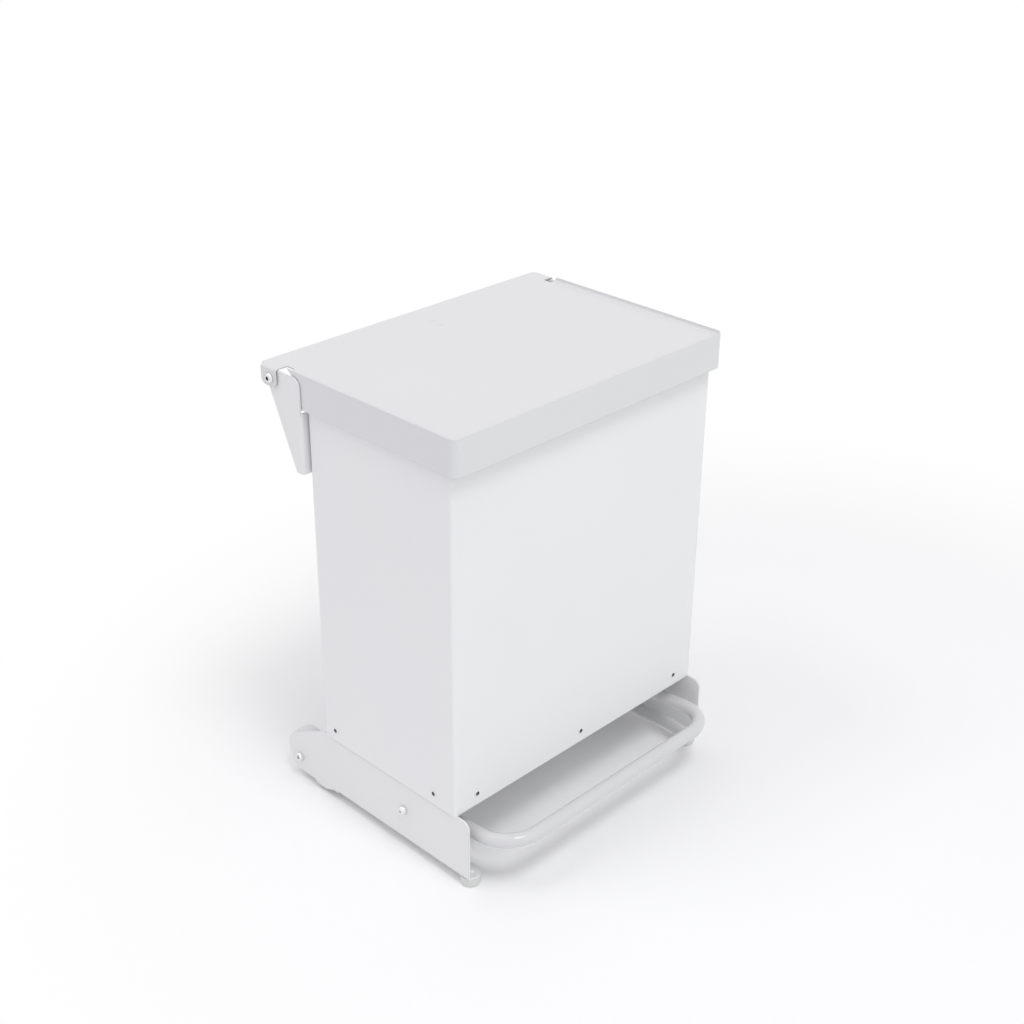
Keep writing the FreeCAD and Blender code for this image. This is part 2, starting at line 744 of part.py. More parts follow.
def make_push_rod():
    """A round rod with a flat eye for the lid's pin and a slotted foot round the lever's pin."""
    slot_half = lever_pin_radius + slot_gap
    slot_y0 = pin_y - slot_front - slot_half
    slot_y1 = pin_y + slot_rear + slot_half
    foot_y0, foot_y1 = slot_y0 - rod_slot_wall, slot_y1 + rod_slot_wall
    foot_z0, foot_z1 = pivot_z - slot_half - rod_slot_wall, pivot_z + slot_half + rod_slot_wall
    x0, x1 = rod_offset - rod_eye_thickness / 2, rod_offset + rod_eye_thickness / 2
    foot_radius = (foot_z1 - foot_z0) / 2
    foot = bar_x([(foot_y0, foot_z0, foot_radius), (foot_y1, foot_z0, foot_radius),
                  (foot_y1, foot_z1, foot_radius), (foot_y0, foot_z1, foot_radius)], x0, x1)
    eye = link(pin_y, pin_z, rod_eye_radius, pin_y, pin_z - rod_eye_radius - rod_neck_length, rod_radius,
               x0, x1)
    stem_z0 = pivot_z + lever_tip_radius + rod_neck_length
    neck_z0 = foot_z1 - rod_slot_wall
    neck = bar_x([(pin_y - rod_radius, neck_z0, 0), (pin_y + rod_radius, neck_z0, 0),
                  (pin_y + rod_radius, stem_z0, 0), (pin_y - rod_radius, stem_z0, 0)], x0, x1)
    stem_z1 = pin_z - rod_eye_radius - rod_neck_length / 2
    stem = Part.makeCylinder(rod_radius, stem_z1 - stem_z0, FreeCAD.Vector(rod_offset, pin_y, stem_z0))
    whole = fused([foot, neck, eye, stem])
    slot = bar_x([(slot_y0, pivot_z - slot_half, slot_half), (slot_y1, pivot_z - slot_half, slot_half),
                  (slot_y1, pivot_z + slot_half, slot_half), (slot_y0, pivot_z + slot_half, slot_half)],
                 x0 - cut_overrun, x1 + cut_overrun)
    bore = rod(lid_pin_radius + running_fit, x0 - cut_overrun, x1 + cut_overrun, pin_y, pin_z)
    return single(whole.cut(slot).cut(bore))


def band_outline(inset):
    """The lid's plan inside a wall of the given thickness, from one rear end round to the other."""
    half = lid_half_width - inset
    radius = lid_band_corner_radius - inset
    return [(-half, band_end_y, 0), (-half, lid_front_y + inset, radius),
            (half, lid_front_y + inset, radius), (half, band_end_y, 0)]


def lower_edges(solid, z):
    """Edges of a solid's bottom face, without the straight one across the rear end."""
    level = [edge for edge in solid.Edges
             if abs(edge.BoundBox.ZMax - z) + abs(edge.BoundBox.ZMin - z) < face_gap]
    return [edge for edge in level if edge.CenterOfMass.y < band_end_y - face_gap]


def make_lid_panel():
    """A dished sheet: turned up inside the band, then notched and folded down at the rear into two ears."""
    rim_z = band_top_z - lid_rim_step
    dish = bar_z(band_outline(lid_sheet), panel_bottom_z, rim_z)
    dish = dish.makeFillet(lid_dish_radius, lower_edges(dish, panel_bottom_z))
    hollow = bar_z(band_outline(2 * lid_sheet), panel_top_z, rim_z + cut_overrun)
    hollow = hollow.makeFillet(lid_dish_radius - lid_sheet, lower_edges(hollow, panel_top_z))
    hollow = hollow.fuse(hollow.translated(along_y * cut_overrun))
    dish = dish.cut(hollow)

    notch_x = lid_half_width - lid_notch_depth
    fold_x = ear_outer_x - lid_fold_radius
    ear_y0, ear_y1 = hinge_y - ear_front_reach, hinge_y + ear_rear_reach
    tail_y = hinge_y + lid_tail_reach
    fold_y = tail_y - lid_fold_radius
    flat = bar_z([(-notch_x, band_end_y - lid_notch_depth, 0), (notch_x, band_end_y - lid_notch_depth, 0),
                  (notch_x, ear_y0, 0), (fold_x, ear_y0, 0), (fold_x, fold_y, lid_tail_corner_radius),
                  (-fold_x, fold_y, lid_tail_corner_radius), (-fold_x, ear_y0, 0), (-notch_x, ear_y0, 0)],
                 panel_bottom_z, panel_top_z)
    inner_radius = lid_fold_radius - lid_sheet
    ear_bottom_z = panel_top_z - ear_height
    ear = bar_y([(fold_x, panel_top_z, 0), (ear_outer_x, panel_top_z, lid_fold_radius),
                 (ear_outer_x, ear_bottom_z, 0), (ear_inner_x, ear_bottom_z, 0),
                 (ear_inner_x, panel_bottom_z, inner_radius), (fold_x, panel_bottom_z, 0)], ear_y0, ear_y1)
    ear = ear.common(bar_x([(ear_y0, panel_top_z, 0), (ear_y0, ear_bottom_z, ear_corner_radius),
                            (ear_y1, ear_bottom_z, ear_corner_radius), (ear_y1, panel_top_z, 0)],
                           fold_x, ear_outer_x))
    tail_bottom_z = panel_top_z - lid_tail_height
    tail_x = fold_x - lid_tail_corner_radius
    tail = bar_x([(fold_y, panel_top_z, 0), (tail_y, panel_top_z, lid_fold_radius),
                  (tail_y, tail_bottom_z, 0), (tail_y - lid_sheet, tail_bottom_z, 0),
                  (tail_y - lid_sheet, panel_bottom_z, inner_radius), (fold_y, panel_bottom_z, 0)],
                 -tail_x, tail_x)
    panel = fused([dish, flat, ear, mirrored(ear), tail])
    bore = hinge_bush_radius + running_fit
    for side in left_and_right:
        x = side * ear_outer_x
        panel = panel.cut(rod(bore, x - cut_overrun, x + cut_overrun, hinge_y, hinge_z))
    return single(panel)


def make_lid_band():
    """One strip bent round the front and the sides, hemmed inside along its lower edge."""
    def strip(inset, z0, z1):
        outer = bar_z(band_outline(inset), z0, z1)
        inner = bar_z(band_outline(inset + lid_sheet), z0, z1)
        return outer.cut(inner.fuse(inner.translated(along_y * cut_overrun)))

    band = strip(0, band_bottom_z, band_top_z)
    band = fused([band, strip(lid_sheet, band_bottom_z, band_bottom_z + lid_band_hem_height)])
    foot_y = hinge_y - band_foot_reach
    below_z = band_bottom_z - cut_overrun
    beyond_y = band_end_y + cut_overrun
    end_z = band_top_z - band_end_rise
    corner_cut = bar_x([(foot_y, below_z, 0), (foot_y, end_z, band_end_radius), (band_end_y, band_top_z, 0),
                        (beyond_y, band_top_z, 0), (beyond_y, below_z, 0)], -lid_half_width, lid_half_width)
    return single(band.cut(corner_cut))


def make_lid_bracket():
    """An inverted channel under the panel, with two cheeks that narrow to the push rod's pin."""
    half = rod_half_gap + bracket_sheet
    y0, y1 = hinge_y - bracket_front_reach, hinge_y - bracket_rear_reach
    lobe = bracket_lobe_radius
    depth = panel_bottom_z - pin_z + lobe
    section = channel(half, depth, bracket_sheet, bracket_fold_radius)
    bracket = bar_y([(rod_offset + u, panel_bottom_z - v, radius) for u, v, radius in section], y0, y1)
    side = bar_x([(y0, panel_bottom_z, 0), (y1, panel_bottom_z, 0), (pin_y + lobe, pin_z, lobe / 2),
                  (pin_y + lobe, pin_z - lobe, lobe), (pin_y - lobe, pin_z - lobe, lobe),
                  (pin_y - lobe, pin_z, lobe / 2), (y0, panel_bottom_z - bracket_fold_radius, 0)],
                 rod_offset - half, rod_offset + half)
    bracket = bracket.common(side)
    return single(bracket.cut(rod(lid_pin_radius, rod_offset - half, rod_offset + half, pin_y, pin_z)))


def make_lid_pin():
    """A headed pin across the bracket, grooved for its clip."""
    half = rod_half_gap + bracket_sheet
    groove = lid_pin_radius - lid_pin_groove_depth
    pin = turned([(0, -half - lid_pin_head_height, 0),
                  (lid_pin_head_radius, -half - lid_pin_head_height, lid_pin_head_height / 2),
                  (lid_pin_head_radius, -half, 0), (lid_pin_radius, -half, 0), (lid_pin_radius, half, 0),
                  (groove, half, 0), (groove, half + clip_thickness, 0),
                  (lid_pin_radius, half + clip_thickness, 0),
                  (lid_pin_radius, half + 2 * clip_thickness, 0), (0, half + 2 * clip_thickness, 0)])
    return aimed(pin, along_x, FreeCAD.Vector(rod_offset, pin_y, pin_z))


def make_lid_pin_clip():
    x0 = rod_offset + rod_half_gap + bracket_sheet
    ring = rod(clip_radius, x0, x0 + clip_thickness, pin_y, pin_z)
    ring = ring.cut(rod(lid_pin_radius - lid_pin_groove_depth, x0, x0 + clip_thickness, pin_y, pin_z))
    mouth = block(x0, x0 + clip_thickness, pin_y - clip_mouth_half_width, pin_y + clip_mouth_half_width,
                  pin_z - clip_radius - cut_overrun, pin_z)
    return single(ring.cut(mouth))


def make_lid_buffers():
    """Rubber buttons under the lid, over the body's front and rear rims."""
    height = panel_bottom_z - body_top_z - face_gap
    button = turned([(0, -height, 0), (buffer_radius, -height, buffer_edge_radius),
                     (buffer_radius, 0, 0), (0, 0, 0)])
    return Part.makeCompound([
        button.translated(FreeCAD.Vector(side * (body_width / 2 - buffer_inset), y, panel_bottom_z))
        for side in left_and_right for y in (front_y + body_sheet, rear_y - body_sheet)])


def yoke_rivet_places(side):
    x = side * upright_x
    return [FreeCAD.Vector(x, web_front_y, z)
            for z in (web_bottom_z + yoke_rivet_inset, web_top_z - yoke_rivet_inset)]


def make_hinge_yoke():
    """A web across the back of the body with a three-cornered wing folded back at each end."""
    leg = 2 * yoke_fold_radius
    web = bar_z(moved(channel(wing_outer_x, leg, yoke_sheet, yoke_fold_radius), 0, web_front_y),
                web_bottom_z, web_top_z)
    wing_top_z = hinge_z + yoke_lobe_radius
    foot_y = web_front_y + yoke_foot_width
    slope_y = tangent_point(foot_y, web_bottom_z, hinge_y, hinge_z, yoke_lobe_radius, wing_top_z)
    side = [(web_front_y, web_bottom_z, yoke_corner_radius), (web_front_y, wing_top_z, yoke_shoulder_radius),
            (slope_y, wing_top_z, yoke_lobe_radius), (foot_y, web_bottom_z, yoke_corner_radius / 2)]
    wing = bar_x(side, wing_inner_x, wing_outer_x)
    corner_cut = block(wing_inner_x, wing_outer_x, web_front_y - cut_overrun, web_front_y + leg,
                       web_bottom_z, web_top_z)
    bore = rod(hinge_bolt_radius, wing_inner_x - cut_overrun, wing_outer_x + cut_overrun, hinge_y, hinge_z)
    wing = wing.cut(corner_cut).cut(bore)
    yoke = fused([web, wing, mirrored(wing)])
    for side_sign in left_and_right:
        for place in yoke_rivet_places(side_sign):
            yoke = yoke.cut(Part.makeCylinder(rivet_shank_radius, leg, place, along_y))
    return single(yoke)


def make_yoke_rivets():
    rivet = blind_rivet(yoke_rivet_head_height, yoke_sheet + cross_sheet)
    return Part.makeCompound([aimed(rivet, -along_y, place)
                              for side in left_and_right for place in yoke_rivet_places(side)])


def make_hinge_bolts():
    """Button heads outside the ears, with a hexagon socket."""
    head_x = ear_outer_x + face_gap
    reach = head_x - wing_inner_x + hinge_nut_thickness
    bolt = turned([(0, -reach, 0), (hinge_bolt_radius, -reach, 0), (hinge_bolt_radius, 0, 0),
                   (hinge_head_radius, 0, 0), (hinge_head_radius, hinge_head_edge, 0),
                   (hinge_head_radius * hinge_crown_share, hinge_head_height,
                    hinge_head_height * hinge_dome_share),
                   (0, hinge_head_height, 0)])
    bolt = bolt.cut(bar_z(hexagon(hinge_socket_flats), hinge_head_height - hinge_socket_depth,
                          hinge_head_height + cut_overrun))
    return on_both_sides(bolt, head_x, hinge_y, hinge_z)


def make_hinge_bushes():
    """Flanged bushes that the lid's ears turn on."""
    length = ear_outer_x + face_gap - wing_outer_x
    bush = turned([(hinge_bolt_radius, 0, 0), (hinge_flange_radius, 0, 0),
                   (hinge_flange_radius, hinge_flange_thickness, 0),
                   (hinge_bush_radius, hinge_flange_thickness, 0),
                   (hinge_bush_radius, length, 0), (hinge_bolt_radius, length, 0)])
    return on_both_sides(bush, wing_outer_x, hinge_y, hinge_z)


def make_hinge_nuts():
    piece = nut(hinge_nut_flats, hinge_nut_thickness, hinge_bolt_radius)
    return on_both_sides(piece, wing_inner_x, hinge_y, hinge_z, -1)


right_side = make_base_side()
right_foot = make_front_foot()

nodes = {
    "body_shell": make_body_shell(),
    "body_base": make_body_base(),
    "body_rivets": make_body_rivets(),
    "base_side_left": mirrored(right_side),
    "base_side_right": right_side,
    "base_tie": make_base_tie(),
    "rear_cross_channel": make_rear_cross_channel(),
    "rear_upright_left": make_rear_upright(-1),
    "rear_upright_right": make_rear_upright(1),
    "front_foot_left": mirrored(right_foot),
    "front_foot_right": right_foot,
    "foot_screws": make_foot_screws(),
    "rear_axle": make_rear_axle(),
    "axle_spacers": make_axle_spacers(),
    "axle_collars": make_axle_collars(),
    "axle_caps": make_axle_caps(),
    "wheel_left": make_wheel(-1),
    "wheel_right": make_wheel(1),
    "tyre_left": make_tyre(-1),
    "tyre_right": make_tyre(1),
    "pedal_tube": make_pedal_tube(),
    "pedal_spindle": make_pedal_spindle(),
    "spindle_bushes": make_spindle_bushes(),
    "pivot_bolts": make_pivot_bolts(),
    "pivot_nuts": make_pivot_nuts(),
    "pedal_lever": make_pedal_lever(),
    "lever_pin": make_lever_pin(),
    "push_rod": make_push_rod(),
    "lid_panel": make_lid_panel(),
    "lid_band": make_lid_band(),
    "lid_bracket": make_lid_bracket(),
    "lid_pin": make_lid_pin(),
    "lid_pin_clip": make_lid_pin_clip(),
    "lid_buffers": make_lid_buffers(),
    "hinge_yoke": make_hinge_yoke(),
    "yoke_rivets": make_yoke_rivets(),
    "hinge_bolts": make_hinge_bolts(),
    "hinge_bushes": make_hinge_bushes(),
    "hinge_nuts": make_hinge_nuts(),
}

for name, shape in nodes.items():
    shape.exportStep("parts/" + name + ".step")
    print(name, len(shape.Solids), round(shape.Volume), shape.isValid())

print("pedal degrees", round(math.degrees(pedal_angle), 3), "lid per pedal",
      round(lid_opening_degrees / math.degrees(pedal_angle), 4))
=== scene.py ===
import json
import math

import bpy
from mathutils import Matrix, Vector


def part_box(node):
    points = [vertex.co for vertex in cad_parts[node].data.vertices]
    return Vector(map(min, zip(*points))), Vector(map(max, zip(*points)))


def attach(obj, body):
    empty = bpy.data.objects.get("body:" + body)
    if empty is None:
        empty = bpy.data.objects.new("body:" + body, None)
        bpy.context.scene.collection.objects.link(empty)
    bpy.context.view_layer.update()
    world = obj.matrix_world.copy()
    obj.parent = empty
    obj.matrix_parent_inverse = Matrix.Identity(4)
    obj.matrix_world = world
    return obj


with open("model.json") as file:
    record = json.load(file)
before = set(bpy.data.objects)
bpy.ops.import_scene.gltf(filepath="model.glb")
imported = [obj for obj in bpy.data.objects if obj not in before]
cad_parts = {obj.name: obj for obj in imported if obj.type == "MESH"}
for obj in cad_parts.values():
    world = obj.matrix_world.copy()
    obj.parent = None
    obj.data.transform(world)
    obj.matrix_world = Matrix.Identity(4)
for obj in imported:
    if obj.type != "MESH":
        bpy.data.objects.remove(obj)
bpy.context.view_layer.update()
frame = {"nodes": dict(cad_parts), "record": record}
nodes = frame["nodes"]
slotOf = {part["node"]: part["material_slot"] for part in frame["record"]["subparts"]}
pivots = {joint["name"]: Vector(joint["pos_m"]) for joint in frame["record"]["behaviour"]["joints"]}
mm = 0.001
print("frame loaded with", len(nodes), "nodes")


def linear(hexColour):
    # sRGB hex to the linear values that the shaders work in
    channels = [int(hexColour[i:i + 2], 16) / 255 for i in (1, 3, 5)]
    return [c / 12.92 if c <= 0.04045 else ((c + 0.055) / 1.055) ** 2.4 for c in channels] + [1.0]


def addNode(tree, kind, inputs=None, **settings):
    node = tree.nodes.new(kind)
    for name, value in settings.items():
        setattr(node, name, value)
    for name, value in (inputs or {}).items():
        if isinstance(value, bpy.types.NodeSocket):
            tree.links.new(value, node.inputs[name])
        else:
            node.inputs[name].default_value = value
    return node


def newMaterial(name):
    material = bpy.data.materials.new(name)
    material.use_nodes = True
    material.node_tree.nodes.clear()
    return material, material.node_tree


def perMetre(sizeMm):
    # pattern scale for coordinates in metres, from the real size of one mark
    return 1 / (sizeMm * mm)


# A round hollow is level over this share of its radius, then rises to its rim
hollowShape = {"levelShare": 0.5}


def hollowAt(tree, place, keep, centres, radiusMm):
    # 0 inside each round hollow and 1 outside it, measured only along the axes kept
    flat = addNode(tree, "ShaderNodeVectorMath", {0: place, 1: keep}, operation="MULTIPLY").outputs[0]
    height = None
    for centre in centres:
        kept = [a * b for a, b in zip(centre, keep)]
        away = addNode(tree, "ShaderNodeVectorMath", {0: flat, 1: kept}, operation="DISTANCE")
        edge = addNode(tree, "ShaderNodeMapRange",
                       {"Value": away.outputs["Value"],
                        "From Min": hollowShape["levelShare"] * radiusMm * mm,
                        "From Max": radiusMm * mm}, interpolation_type="SMOOTHSTEP").outputs["Result"]
        if height:
            edge = addNode(tree, "ShaderNodeMath", {0: height, 1: edge}, operation="MULTIPLY").outputs[0]
        height = edge
    return height


# Polyester powder coat, sprayed on folded steel and stoved: an even satin skin with a faint orange peel,
# drawn round over the sheet's cut edges
whitePaint = {"name": "whitePowderCoatStoved", "colour": "#eeefee", "shade": "#ecebed", "roughness": 0.42,
              "peelMm": 5.0, "peelDepthMm": 0.012, "cloudMm": 160.0, "edgeMm": 0.8}
framePaint = {"name": "offWhitePowderCoatStoved", "colour": "#ececec", "shade": "#e9e9e9", "roughness": 0.40,
              "peelMm": 5.0, "peelDepthMm": 0.014, "cloudMm": 120.0, "edgeMm": 0.9}
lidPaint = {"name": "paleGreyPowderCoatStoved", "colour": "#e0e0e1", "shade": "#ddddde", "roughness": 0.30,
            "peelMm": 5.0, "peelDepthMm": 0.012, "cloudMm": 140.0, "edgeMm": 0.5}
pedalPaint = {"name": "paleGreyPowderCoatGlossy", "colour": "#dadadb", "shade": "#d7d7d8", "roughness": 0.12,
              "peelMm": 4.0, "peelDepthMm": 0.010, "cloudMm": 90.0, "edgeMm": 0.5}
# Common to all the coats
coat = {"cloudDetail": 2.0, "peelDetail": 1.0, "glossSpread": 0.03, "refraction": 1.5, "edgeSamples": 4}
# Spot welds hold the bracket to the panel, and each leaves a round dent in the top
weldDents = {"along": (0.10, 0.62), "radiusMm": 4.4, "depthMm": 0.6}


def powderCoat(paint, dents=None):
    material, tree = newMaterial(paint["name"] + ("Dented" if dents else ""))
    place = addNode(tree, "ShaderNodeTexCoord").outputs["Object"]
    cloud = addNode(tree, "ShaderNodeTexNoise",
                    {"Vector": place, "Scale": perMetre(paint["cloudMm"]), "Detail": coat["cloudDetail"]})
    tone = addNode(tree, "ShaderNodeMix", {"Factor": cloud.outputs["Fac"], "A": linear(paint["colour"]),
                                           "B": linear(paint["shade"])}, data_type="RGBA")
    # real orange peel is about 2 mm from crest to crest, drawn coarser here so that it shows
    peel = addNode(tree, "ShaderNodeTexNoise",
                   {"Vector": place, "Scale": perMetre(paint["peelMm"]), "Detail": coat["peelDetail"]})
    normal = addNode(tree, "ShaderNodeBevel", {"Radius": paint["edgeMm"] * mm},
                     samples=coat["edgeSamples"]).outputs["Normal"]
    if dents:
        depth = hollowAt(tree, place, (1, 1, 0), dents, weldDents["radiusMm"])
        normal = addNode(tree, "ShaderNodeBump", {"Height": depth, "Distance": weldDents["depthMm"] * mm,
                                                  "Normal": normal}).outputs["Normal"]
    bump = addNode(tree, "ShaderNodeBump", {"Height": peel.outputs["Fac"], "Strength": 1.0,
                                            "Distance": paint["peelDepthMm"] * mm, "Normal": normal})
    gloss = addNode(tree, "ShaderNodeMapRange", {"Value": peel.outputs["Fac"],
                                                 "To Min": paint["roughness"] - coat["glossSpread"],
                                                 "To Max": paint["roughness"] + coat["glossSpread"]})
    skin = addNode(tree, "ShaderNodeBsdfPrincipled", {"Base Color": tone.outputs["Result"],
                                                      "IOR": coat["refraction"],
                                                      "Roughness": gloss.outputs["Result"],
                                                      "Normal": bump.outputs["Normal"]})
    addNode(tree, "ShaderNodeOutputMaterial", {"Surface": skin.outputs["BSDF"]})
    return material


# Zinc electroplated on drawn steel: dull silver with a fine crystal mottle
zincPlate = {"name": "zincElectroplatedSteel", "colour": "#c3c6c9", "shade": "#a9adb1", "roughness": 0.36,
             "grainMm": 3.0, "metal": 1.0, "bumpMm": 0.006, "edgeMm": 0.4}
# Nickel plated over polished steel, barrel finished
brightPlate = {"name": "nickelPlatedSteel", "colour": "#f0f0ef", "shade": "#e4e4e4", "roughness": 0.22,
               "grainMm": 6.0, "metal": 1.0, "bumpMm": 0.003, "edgeMm": 0.4}
# Polypropylene, injection moulded in a spark-eroded tool: satin with a fine grain
palePlastic = {"name": "polypropyleneMoulded", "colour": "#dddddc", "shade": "#d5d5d4", "roughness": 0.48,
               "grainMm": 1.2, "metal": 0.0, "bumpMm": 0.02, "edgeMm": 0.5}
# Thermoplastic rubber, moulded: matt with a little bloom
paleRubber = {"name": "thermoplasticRubberMoulded", "colour": "#ececee", "shade": "#e6e6e8",
              "roughness": 0.72, "grainMm": 1.6, "metal": 0.0, "bumpMm": 0.03, "edgeMm": 0.6}
# Mild steel wire, drawn and broken off, coloured dark as painted shade: its colour stands for the shade
# inside the rivet's bore
stemAndBoreShade = {"name": "drawnSteelStemWithPaintedBoreShade", "colour": "#5e5f61", "shade": "#4a4b4d", "roughness": 0.55,
             "grainMm": 0.8, "metal": 0.2, "bumpMm": 0.05, "edgeMm": 0.2}
# Common to plate, plastic, rubber and wire
grainLook = {"detail": 3.0, "glossSpread": 0.06, "refraction": 1.5, "edgeSamples": 4}
# Painted shade: a grey disc in the middle of each pivot bolt's dome stands for the shade in its centre hole,
# and a near-black disc on each hinge bolt's head stands for the shade in its socket
domeHoleShade = {"name": "HoleShaded", "radiusMm": 1.7, "colour": "#6d6d70"}
socketShade = {"name": "SocketShaded", "radiusMm": 2.9, "colour": "#262628"}


def grainedSkin(finish, mark=None, markedAt=None):
    material, tree = newMaterial(finish["name"] + (mark["name"] if mark else ""))
    place = addNode(tree, "ShaderNodeTexCoord").outputs["Object"]
    grain = addNode(tree, "ShaderNodeTexNoise",
                    {"Vector": place, "Scale": perMetre(finish["grainMm"]), "Detail": grainLook["detail"]})
    tone = addNode(tree, "ShaderNodeMix", {"Factor": grain.outputs["Fac"], "A": linear(finish["colour"]),
                                           "B": linear(finish["shade"])}, data_type="RGBA").outputs["Result"]
    # the mark, when given, is a disc of painted shade over a hole or socket in the head
    if mark:
        clear = hollowAt(tree, place, (0, 1, 1), [markedAt], mark["radiusMm"])
        tone = addNode(tree, "ShaderNodeMix", {"Factor": clear, "A": linear(mark["colour"]), "B": tone},
                       data_type="RGBA").outputs["Result"]
    normal = addNode(tree, "ShaderNodeBevel", {"Radius": finish["edgeMm"] * mm},
                     samples=grainLook["edgeSamples"]).outputs["Normal"]
    bump = addNode(tree, "ShaderNodeBump", {"Height": grain.outputs["Fac"], "Strength": 1.0,
                                            "Distance": finish["bumpMm"] * mm, "Normal": normal})
    gloss = addNode(tree, "ShaderNodeMapRange", {"Value": grain.outputs["Fac"],
                                                 "To Min": finish["roughness"] - grainLook["glossSpread"],
                                                 "To Max": finish["roughness"] + grainLook["glossSpread"]})
    skin = addNode(tree, "ShaderNodeBsdfPrincipled", {"Base Color": tone, "Metallic": finish["metal"],
                                                      "IOR": grainLook["refraction"],
                                                      "Roughness": gloss.outputs["Result"],
                                                      "Normal": bump.outputs["Normal"]})
    addNode(tree, "ShaderNodeOutputMaterial", {"Surface": skin.outputs["BSDF"]})
    return material


def dentPlaces():
    low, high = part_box("lid_bracket")
    x = (low[0] + high[0]) / 2
    return [(x, low[1] + share * (high[1] - low[1]), high[2]) for share in weldDents["along"]]


frameCoat = powderCoat(framePaint)
lidCoat = powderCoat(lidPaint)
slotFinish = {"white_paint": powderCoat(whitePaint), "grey_paint": frameCoat,
              "zinc_steel": grainedSkin(zincPlate), "bright_bolt": grainedSkin(brightPlate),
              "pale_plastic": grainedSkin(palePlastic), "grey_rubber": grainedSkin(paleRubber)}
ownFinish = {"lid_band": lidCoat, "lid_bracket": lidCoat, "lid_panel": powderCoat(lidPaint, dentPlaces()),
             "foot_screws": frameCoat, "pedal_tube": powderCoat(pedalPaint),
             "pivot_bolts": grainedSkin(brightPlate, domeHoleShade, pivots["pedal_pivot"]),
             "hinge_bolts": grainedSkin(brightPlate, socketShade, pivots["lid_hinge"])}
for name, node in nodes.items():
    node.data.materials.clear()
    node.data.materials.append(ownFinish.get(name, slotFinish[slotOf[name]]))
print("paint, plate, plastic and rubber on", len(nodes), "nodes")


def addPiece(name, points, faces, material, body):
    mesh = bpy.data.meshes.new(name)
    mesh.from_pydata(points, [], faces)
    mesh.polygons.foreach_set("use_smooth", [True] * len(mesh.polygons))
    mesh.materials.append(material)
    piece = bpy.data.objects.new(name, mesh)
    bpy.context.scene.collection.objects.link(piece)
    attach(piece, body)


def joinRings(rings, closed=False):
    # quads between rings of points that all have the same count
    points = [point for ring in rings for point in ring]
    count = len(rings[0])
    faces = []
    for i in range(len(rings) if closed else len(rings) - 1):
        here, there = i * count, (i + 1) % len(rings) * count
        for j in range(count):
            k = (j + 1) % count
            faces.append((here + j, here + k, there + k, there + j))
    return points, faces


# Each blind rivet keeps the end of its pulling stem, broken off and spread over the bore in the head; this
# dark disc is partly that stem and partly painted shade of the hollow bore
rivetStem = {"apartMm": 15.0, "radiusMm": 2.5, "proudMm": 0.15, "skirtMm": 0.4, "chamferMm": 0.12,
             "segments": 24}


def rivetGroups(nodeName):
    groups = []
    for vertex in nodes[nodeName].data.vertices:
        point = nodes[nodeName].matrix_world @ vertex.co
        for group in groups:
            if (group[0] - point).length < rivetStem["apartMm"] * mm:
                group.append(point)
                break
        else:
            groups.append([point])
    return groups


def addRivetStemsWithBoreShade():
    low, high = [Vector(corner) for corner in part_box("body_shell")]
    points, faces = [], []
    for group in rivetGroups("body_rivets"):
        top = Vector([max(p[i] for p in group) for i in range(3)])
        bottom = Vector([min(p[i] for p in group) for i in range(3)])
        # the head stands proud of the one wall that the rivet goes through
        proud = [(top[i] - high[i], i, 1) for i in (0, 1)] + [(low[i] - bottom[i], i, -1) for i in (0, 1)]
        _, axis, sign = max(proud)
        outward = Vector([sign if i == axis else 0 for i in range(3)])
        middle = (top + bottom) / 2
        middle[axis] = (top if sign > 0 else bottom)[axis]
        radius, chamfer = rivetStem["radiusMm"] * mm, rivetStem["chamferMm"] * mm
        profile = [(radius - chamfer, 0), (radius, -chamfer), (radius, -rivetStem["skirtMm"] * mm)]
        turn = Vector((0, 0, 1)).rotation_difference(outward).to_matrix()
        rings = []
        for across, along in profile:
            angles = [2 * math.pi * j / rivetStem["segments"] for j in range(rivetStem["segments"])]
            lift = along + rivetStem["proudMm"] * mm
            rings.append([middle + turn @ Vector((across * math.cos(a), across * math.sin(a), lift))
                          for a in angles])
        ringPoints, ringFaces = joinRings(rings)
        start = len(points)
        points += ringPoints
        faces += [tuple(start + index for index in face) for face in ringFaces]
        faces.append(tuple(start + j for j in range(rivetStem["segments"])))
    # the dark discs carry painted shade for the rivet bores
    addPiece("rivetStemsWithBoreShade", points, faces, grainedSkin(stemAndBoreShade), "frame")


addRivetStemsWithBoreShade()
print("rivet stems set")

# Weld beads under the paint, laid as a row of overlapping ripples
weldBead = {"radiusMm": 2.0, "rippleMm": 2.6, "rippleShare": 0.12, "stepMm": 0.65, "sides": 10,
            "armRadiusMm": 8.0, "endPower": 6, "endLeast": 0.02, "stepsLeast": 4}


